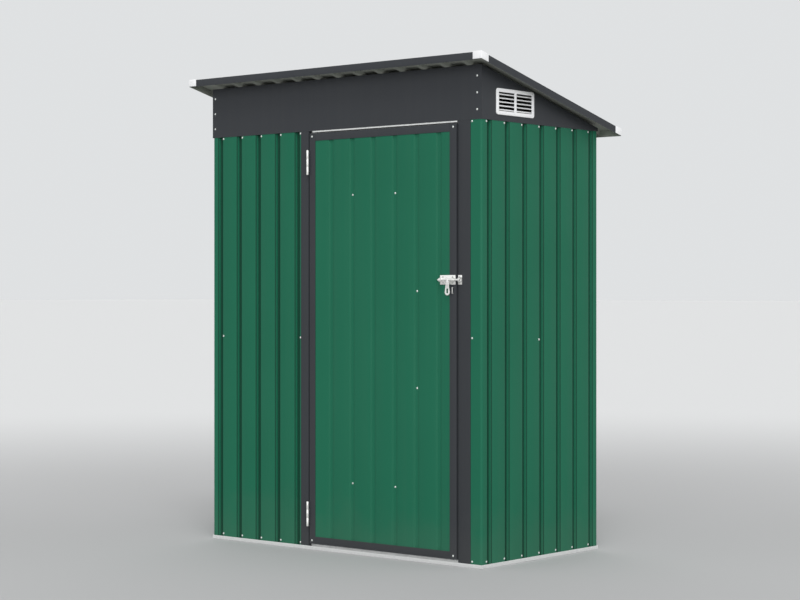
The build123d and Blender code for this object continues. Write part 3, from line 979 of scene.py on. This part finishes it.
@dataclass
class HingePins:
    """The domed ends of a hinge's pin, above and below its knuckles."""

    node: str
    radius: float = 0.0043
    height: float = 0.0012
    dome: float = 0.0008
    axis_inset: float = 0.0047
    sides: int = 24

    def build(self) -> None:
        """Shapes the two ends from cylinders and dresses them."""
        low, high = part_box(self.node)
        ends = []
        for level, side in ((high.z, 1), (low.z, -1)):
            face_z = side * self.height / 2
            deselect_all()
            bpy.ops.mesh.primitive_cylinder_add(
                vertices=self.sides,
                radius=self.radius,
                depth=self.height,
                location=(low.x + self.axis_inset, low.y + self.axis_inset, level + face_z),
            )
            end = bpy.context.active_object
            with editing(end):
                round_edges(end, lambda edge: lies_at(edge, 2, face_z), self.dome, segments=4)
            apply_place(end)
            ends.append(end)
        piece = join(ends, f"{self.node.replace('_post_leaf', '')}_pin_ends")
        smooth(piece)
        ZINC_PLATE.dress(piece)
        mount(piece, Body.SHED)


# Screws


@dataclass(frozen=True)
class ScrewPattern:
    """A pan-head screw with a washer face and a cross recess, pointing up from its washer's middle."""

    washer_radius: float = 0.0038
    washer_height: float = 0.0007
    head_radius: float = 0.0029
    head_height: float = 0.0020
    dome_steps: tuple[tuple[float, float], ...] = ((0.5, 1.0), (0.35, 0.86), (0.15, 0.62 / 0.86))
    cross_length: float = 0.0030
    cross_width: float = 0.0008
    cross_depth: float = 0.0009
    sides: int = 18
    smoothing: float = math.radians(40)

    def build(self, name: str) -> Piece:
        """Models the screw.

        Args:
            name: the name of the pattern.

        Returns:
            The pattern.
        """
        deselect_all()
        bpy.ops.mesh.primitive_cylinder_add(
            vertices=self.sides,
            radius=self.washer_radius,
            depth=self.washer_height,
            location=(0, 0, self.washer_height / 2),
        )
        screw = bpy.context.active_object
        screw.name = name
        with editing(screw):
            select(screw, Pick.FACES, lambda face: face.normal.z > FULLY)
            bpy.ops.mesh.inset(thickness=self.washer_radius - self.head_radius, depth=0)
            for share, narrowing in self.dome_steps:
                rise = share * (self.head_height - self.washer_height)
                bpy.ops.mesh.extrude_region_move(TRANSFORM_OT_translate={"value": (0, 0, rise)})
                bpy.ops.transform.resize(value=(narrowing, narrowing, 1))
        bar = (self.cross_length, self.cross_width, 2 * self.cross_depth)
        for turn in (0.0, math.pi / 2):
            cut_out(screw, block("cross_bar", Vector((0, 0, self.head_height)), bar, turn))
        smooth(screw, self.smoothing)
        return screw


@dataclass(frozen=True)
class ScrewRow:
    """Screws that are one piece: where they sit, and which way their heads look."""

    name: str
    points: Sequence[Vector]
    outward: Vector
    body: Body = Body.SHED
    finish: Finish = SCREW_ZINC
    turn: float = math.radians(137.5)

    def places(self) -> list[Matrix]:
        """Gives a place for each screw, each turned differently about its own axis."""
        tilt = self.outward.to_track_quat("Z", "Y").to_matrix().to_4x4()
        return [
            Matrix.Translation(point) @ tilt @ Matrix.Rotation(self.turn * (index + 1), 4, "Z")
            for index, point in enumerate(self.points)
        ]

    def build(self, pattern: Piece) -> None:
        """Copies a screw to the places, and dresses the copies.

        Args:
            pattern: the screw to copy.
        """
        piece = copy_to(pattern, self.places(), self.name)
        self.finish.dress(piece)
        mount(piece, self.body)


@dataclass
class Screws:
    """All the screws of the shed, joined for each place that they hold."""

    seat: float = 0.0001
    pitch: float = 0.105
    door_groove_depth: float = 0.005
    first_groove: float = 0.021
    beside_groove: float = 0.0175
    below_header: float = 0.0065
    above_ground: float = 0.024
    lap_height: float = 0.81
    header_rise: tuple[float, ...] = (0.035, 0.095, 0.155)
    header_insets: tuple[float, float] = (0.0145, 0.0205)
    corner_inset: float = 0.043
    corner_heights: tuple[float, ...] = (1.594, 0.82, 0.023)
    door_inset: float = 0.013
    door_latch_inset: float = 0.014
    door_top_inset: float = 0.0115
    upright_inset: float = 0.034
    bolt_screw_along: float = 0.022
    bolt_screw_rise: float = 0.0105
    bolt_plate_front: float = -0.3681
    keeper_screw_inset: float = 0.006
    keeper_front: float = -0.3633
    roof_slope: float = math.radians(14.1)
    roof_rise: float = 0.0143
    roof_row: float = 0.350
    roof_count: int = 12
    roof_shift: float = 0.004
    pattern: ScrewPattern = ScrewPattern()
    small_pattern: ScrewPattern = ScrewPattern(
        washer_radius=0.0028, washer_height=0.0004, head_radius=0.0024, head_height=0.0013,
        cross_length=0.0024, cross_width=0.0006, cross_depth=0.0006,
    )

    def walls(self) -> list[ScrewRow]:
        """Places the screws of the walls, at the top and the foot beside each groove and halfway up a lap.

        Returns:
            One row for each wall.
        """
        half_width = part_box("right_front_wall")[1].x + self.seat
        half_depth = -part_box("front_left_wall")[0].y + self.seat
        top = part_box("front_header")[0].z - self.below_header
        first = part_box("hinge_post")[0].x - self.first_groove + self.beside_groove
        front = [first - i * self.pitch for i in range(5)]
        side = [i * self.pitch - self.beside_groove for i in range(-3, 4)]
        back = [i * self.pitch + self.beside_groove for i in range(-6, 7)]
        rows = []
        for wall, outward, grooves, laps in (
            ("front", TO_FRONT, front, (0, -1)),
            ("right", TO_RIGHT, side, (3,)),
            ("left", -TO_RIGHT, side, (3,)),
            ("back", -TO_FRONT, back, (3, -4)),
        ):
            face = outward * (half_width if outward.x else half_depth)
            along = Vector((abs(outward.y), abs(outward.x), 0))
            places = [(groove, z) for groove in grooves for z in (top, self.above_ground)]
            places += [(grooves[lap], self.lap_height) for lap in laps]
            points = [face + along * groove + Vector((0, 0, z)) for groove, z in places]
            rows.append(ScrewRow(f"{wall}_wall_screws", points, outward))
        return rows

    def front(self) -> list[ScrewRow]:
        """Places the screws of the header, and those of the corner sheet's front edge.

        Returns:
            The two rows.
        """
        low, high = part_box("front_header")
        header = [
            Vector((x, low.y - self.seat, low.z + rise))
            for x in (low.x + self.header_insets[0], high.x - self.header_insets[1])
            for rise in self.header_rise
        ]
        corner_low, corner_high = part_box("right_front_wall")
        corner_x, corner_y = corner_high.x - self.corner_inset, corner_low.y - self.seat
        corner = [Vector((corner_x, corner_y, height)) for height in self.corner_heights]
        return [ScrewRow("header_screws", header, TO_FRONT), ScrewRow("corner_screws", corner, TO_FRONT)]

    def door(self) -> list[ScrewRow]:
        """Places the screws of the door: at the corners of its frame and along its braces.

        Returns:
            The two rows.
        """
        low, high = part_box("door_hinge_stile")[0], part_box("door_latch_stile")[1]
        corners = [
            Vector((x, low.y - self.seat, z))
            for x in (low.x + self.door_inset, high.x - self.door_latch_inset)
            for z in (low.z + self.door_inset, high.z - self.door_top_inset)
        ]
        panel_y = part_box("door_panel")[0].y + self.door_groove_depth - self.seat
        upright_x = middle("door_upright_brace").x
        foot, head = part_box("door_upright_brace")
        braces = [
            Vector((x, panel_y, middle(brace).z))
            for x in (upright_x - 3 * self.pitch, upright_x - self.pitch)
            for brace in ("door_upper_brace", "door_lower_brace")
        ]
        ends = (foot.z + self.upright_inset, head.z - self.upright_inset)
        upright = [Vector((upright_x, panel_y, z)) for z in ends]
        return [
            ScrewRow("door_frame_screws", corners, TO_FRONT, Body.DOOR),
            ScrewRow("door_brace_screws", braces + upright, TO_FRONT, Body.DOOR),
        ]

    def roof(self) -> ScrewRow:
        """Places the screws of the roof, painted with it: on the flats over the front and back walls.

        Returns:
            The row.
        """
        left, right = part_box("roof_left_sheet"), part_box("roof_right_sheet")
        top = max(left[1].z, right[1].z)
        ridge = min(left[0].y, right[0].y) + self.roof_rise * math.sin(self.roof_slope)
        points = [
            Vector((
                (i - (self.roof_count - 1) / 2) * self.pitch - self.roof_shift,
                y,
                top - (y - ridge) * math.tan(self.roof_slope) + self.seat,
            ))
            for i in range(self.roof_count)
            for y in (-self.roof_row, self.roof_row)
        ]
        outward = Vector((0, math.sin(self.roof_slope), math.cos(self.roof_slope)))
        return ScrewRow("roof_screws", points, outward, finish=GREY_PAINT)

    def bolt(self) -> list[ScrewRow]:
        """Places the small screws of the bolt's plate and of its keeper.

        Returns:
            The two rows.
        """
        level = middle("bolt_keeper").z
        heights = (level - self.bolt_screw_rise, level + self.bolt_screw_rise)
        plate_x = middle("bolt_base").x
        plate = [
            Vector((x, self.bolt_plate_front - self.seat, z))
            for x in (plate_x - self.bolt_screw_along, plate_x + self.bolt_screw_along)
            for z in heights
        ]
        keeper_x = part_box("bolt_keeper")[0].x + self.keeper_screw_inset
        keeper = [Vector((keeper_x, self.keeper_front - self.seat, z)) for z in heights]
        return [
            ScrewRow("bolt_plate_screws", plate, TO_FRONT, Body.DOOR, DULL_SCREW_ZINC),
            ScrewRow("keeper_screws", keeper, TO_FRONT, Body.SHED, DULL_SCREW_ZINC),
        ]

    def build(self) -> None:
        """Models the two sizes of screw and copies them to their rows."""
        large, small = self.pattern.build("screw_pattern"), self.small_pattern.build("small_screw_pattern")
        for row in (*self.walls(), *self.front(), *self.door(), self.roof()):
            row.build(large)
        for row in self.bolt():
            row.build(small)
        remove(large)
        remove(small)


# Studio


@dataclass(frozen=True)
class SoftSun:
    """A broad, even lamp far away."""

    name: str
    toward: Colour
    level: float
    spread: float

    def build(self) -> None:
        """Adds the lamp. A level of 1 lights a white surface that faces it to white."""
        lamp = bpy.data.lights.new(self.name, "SUN")
        lamp.energy = math.pi * self.level
        lamp.angle = math.radians(self.spread)
        sun = add_object(self.name, lamp)
        sun.rotation_euler = (-Vector(self.toward)).to_track_quat("-Z", "Y").to_euler()


@dataclass
class Studio:
    """Pale floor, soft light, and a level camera at the photograph's angle."""

    camera_place: Colour = (4.962, -5.850, 0.984)
    heading: float = math.radians(40.34)
    focal_pixels: float = 1959.0
    horizon_row: float = 292.2
    sensor_width: float = 36.0
    floor_size: float = 400.0
    floor_level: float = -0.0004
    # Painted shade: the floor is darker near the shed and pales outwards to meet the backdrop
    floor_shaded_near: Colour = (0.52, 0.525, 0.53)
    floor_far: Colour = (0.78, 0.79, 0.795)
    near_reach: float = 1.5
    far_reach: float = 9.0
    floor_bounce: Colour = (0.45, 0.45, 0.45)
    backdrop: Colour = (0.74, 0.755, 0.765)
    ambient: float = 0.42
    lamps: tuple[SoftSun, ...] = (
        SoftSun("key_high", (0.42, -0.45, 0.80), 0.32, 22.0),
        SoftSun("low_right", (0.87, -0.45, 0.20), 0.25, 40.0),
        SoftSun("low_front", (0.45, -0.87, 0.20), 0.39, 40.0),
        SoftSun("fill_front_left", (-0.45, -0.85, 0.27), 0.10, 60.0),
        SoftSun("fill_back_right", (0.86, 0.42, 0.27), 0.15, 60.0),
        SoftSun("fill_back_left", (-0.65, 0.70, 0.30), 0.28, 60.0),
    )

    def build_camera(self) -> None:
        """Adds the camera: level, with a small shift that puts the horizon where it was."""
        data = bpy.data.cameras.new("camera")
        data.sensor_width = self.sensor_width
        data.lens = self.focal_pixels * self.sensor_width / IMAGE_WIDTH
        data.shift_y = (self.horizon_row - IMAGE_HEIGHT / 2) / IMAGE_WIDTH
        data.clip_end = self.floor_size
        camera = add_object("camera", data)
        camera.location = self.camera_place
        camera.rotation_euler = (math.pi / 2, 0, self.heading)
        bpy.context.scene.camera = camera

    def build_floor(self) -> None:
        """Adds the floor, paler to the camera than in the light that it throws back, and darker near the
        shed as painted shade around it.
        """
        deselect_all()
        bpy.ops.mesh.primitive_plane_add(size=self.floor_size, location=(0, 0, self.floor_level))
        floor = bpy.context.active_object
        floor.name = "floor"
        material = bpy.data.materials.new("pale_floor")
        material.use_nodes = True
        graph = Graph(material.node_tree)
        camera_ray = graph.add("LightPath").outputs["Is Camera Ray"]
        places = graph.add("TexCoord").outputs["Object"]
        distance = graph.add("VectorMath", {0: places}, operation="LENGTH").outputs["Value"]
        share = graph.ramp(distance, self.near_reach, self.far_reach)
        seen = graph.blend(share, self.floor_shaded_near, self.floor_far)
        colour = graph.blend(camera_ray, self.floor_bounce, seen)
        matt = {"Base Color": colour, "Roughness": 1.0, "Specular IOR Level": 0.0}
        shader = graph.add("BsdfPrincipled", matt)
        graph.add("OutputMaterial", {"Surface": shader.outputs["BSDF"]})
        floor.data.materials.append(material)

    def build_world(self) -> None:
        """Lights the scene evenly, and shows the pale backdrop to the camera and in reflections."""
        world = bpy.data.worlds.new("studio")
        bpy.context.scene.world = world
        world.use_nodes = True
        graph = Graph(world.node_tree)
        rays = graph.add("LightPath").outputs
        seen = graph.math("MAXIMUM", rays["Is Camera Ray"], rays["Is Glossy Ray"])
        shown = graph.math("MAXIMUM", seen, rays["Is Transmission Ray"])
        colour = graph.blend(shown, (self.ambient,) * 3, self.backdrop)
        sky = graph.add("Background", {"Color": colour, "Strength": 1.0})
        graph.add("OutputWorld", {"Surface": sky.outputs["Background"]})

    def build(self) -> None:
        """Builds the studio."""
        self.build_camera()
        self.build_floor()
        self.build_world()
        for lamp in self.lamps:
            lamp.build()
        bpy.context.scene.view_settings.view_transform = "Standard"


def around(stem: str) -> tuple[str, ...]:
    """Names the four lengths of a rail that goes round the shed."""
    return tuple(f"{stem}_{side}" for side in ("front", "right", "back", "left"))


def steel_pieces() -> list[FormedPieces]:
    """Lists the sheets, folded steel, caps and hardware.

    Returns:
        One entry for each kind of piece.
    """
    walls = WallFaces(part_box("right_front_wall")[1].x, -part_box("front_left_wall")[0].y)
    caps = tuple(f"roof_cap_{end}_{side}" for end in ("front", "back") for side in ("left", "right"))
    return [
        # The wall sheets get painted shade in the lips and bottoms of their grooves
        FormedPieces(("front_left_wall", "back_wall", "right_front_wall", "right_back_wall",
                      "left_back_wall", "left_front_wall"), Body.SHED, Slot.GREEN, GREEN_PAINT, WALL_RIBS,
                     plain_sheet=True, inside=BACKING_COAT, inside_faces=walls.inner,
                     painted_fold_shade=walls.fold),
        FormedPieces(("door_panel",), Body.DOOR, Slot.GREEN, GREEN_PAINT, SHEET_RIBS, plain_sheet=True,
                     inside=BACKING_COAT, inside_faces=behind),
        FormedPieces(("roof_left_sheet", "roof_right_sheet"), Body.SHED, Slot.GREY, GREY_PAINT, SHEET_RIBS,
                     plain_sheet=True, inside=BACKING_COAT, inside_faces=below),
        FormedPieces(("hinge_post", "latch_post"), Body.SHED, Slot.GREY, GREY_PAINT, POST_BENDS),
        FormedPieces(("front_header", "back_header", "left_gable", "right_gable", "roof_left_trim",
                      "roof_right_trim"), Body.SHED, Slot.GREY, GREY_PAINT,
                     inside=BACKING_COAT, inside_faces=to_the_middle),
        FormedPieces(("roof_front_trim", "roof_back_trim"), Body.SHED, Slot.GREY, GREY_PAINT,
                     plain_sheet=True, inside=BACKING_COAT, inside_faces=to_the_middle),
        FormedPieces(("door_hinge_stile", "door_latch_stile", "door_top_rail", "door_bottom_rail"),
                     Body.DOOR, Slot.GREY, GREY_PAINT, plain_sheet=True),
        FormedPieces((*around("base_rail"), "door_head_rail"), Body.SHED, Slot.ZINC, GALVANISED,
                     plain_sheet=True),
        # The top rails take the darker zinc, painted shade inside the shed
        FormedPieces(around("top_rail"), Body.SHED, Slot.ZINC, SHADED_INNER_ZINC, plain_sheet=True),
        FormedPieces(("door_upper_brace", "door_lower_brace", "door_upright_brace"), Body.DOOR, Slot.ZINC,
                     GALVANISED, plain_sheet=True),
        FormedPieces(caps, Body.SHED, Slot.PLASTIC, WHITE_PLASTIC, CAP_EDGES),
        # Grey paint on the hinge leaves is painted shade in the gaps beside the door
        FormedPieces(HINGE_NODES, Body.SHED, Slot.HARDWARE, ZINC_PLATE, POST_LEAF_EDGES,
                     inside=GREY_PAINT, inside_faces=on_a_leaf),
        FormedPieces(("upper_hinge_door_leaf", "lower_hinge_door_leaf"), Body.DOOR, Slot.HARDWARE,
                     ZINC_PLATE, PLATE_EDGES, inside=GREY_PAINT, inside_faces=on_a_leaf),
        FormedPieces(("bolt_keeper",), Body.SHED, Slot.HARDWARE, ZINC_PLATE, PLATE_EDGES),
        FormedPieces(("bolt_base",), Body.DOOR, Slot.HARDWARE, ZINC_PLATE, PLATE_EDGES),
        FormedPieces(("bolt",), Body.BOLT, Slot.HARDWARE, ZINC_PLATE, ROD_EDGES),
    ]


def main() -> None:
    """Builds the shed's pieces and the studio."""
    logging.basicConfig(level=logging.INFO, format="%(name)s: %(message)s")
    for pieces in steel_pieces():
        pieces.build()
        pieces.dress()
    for node, outward in (("left_vent", -1.0), ("right_vent", 1.0)):
        LouvredVent(node, outward).build()
    for node in HINGE_NODES:
        HingePins(node).build()
    Screws().build()
    Studio().build()


if __name__ == "__main__":
    main()
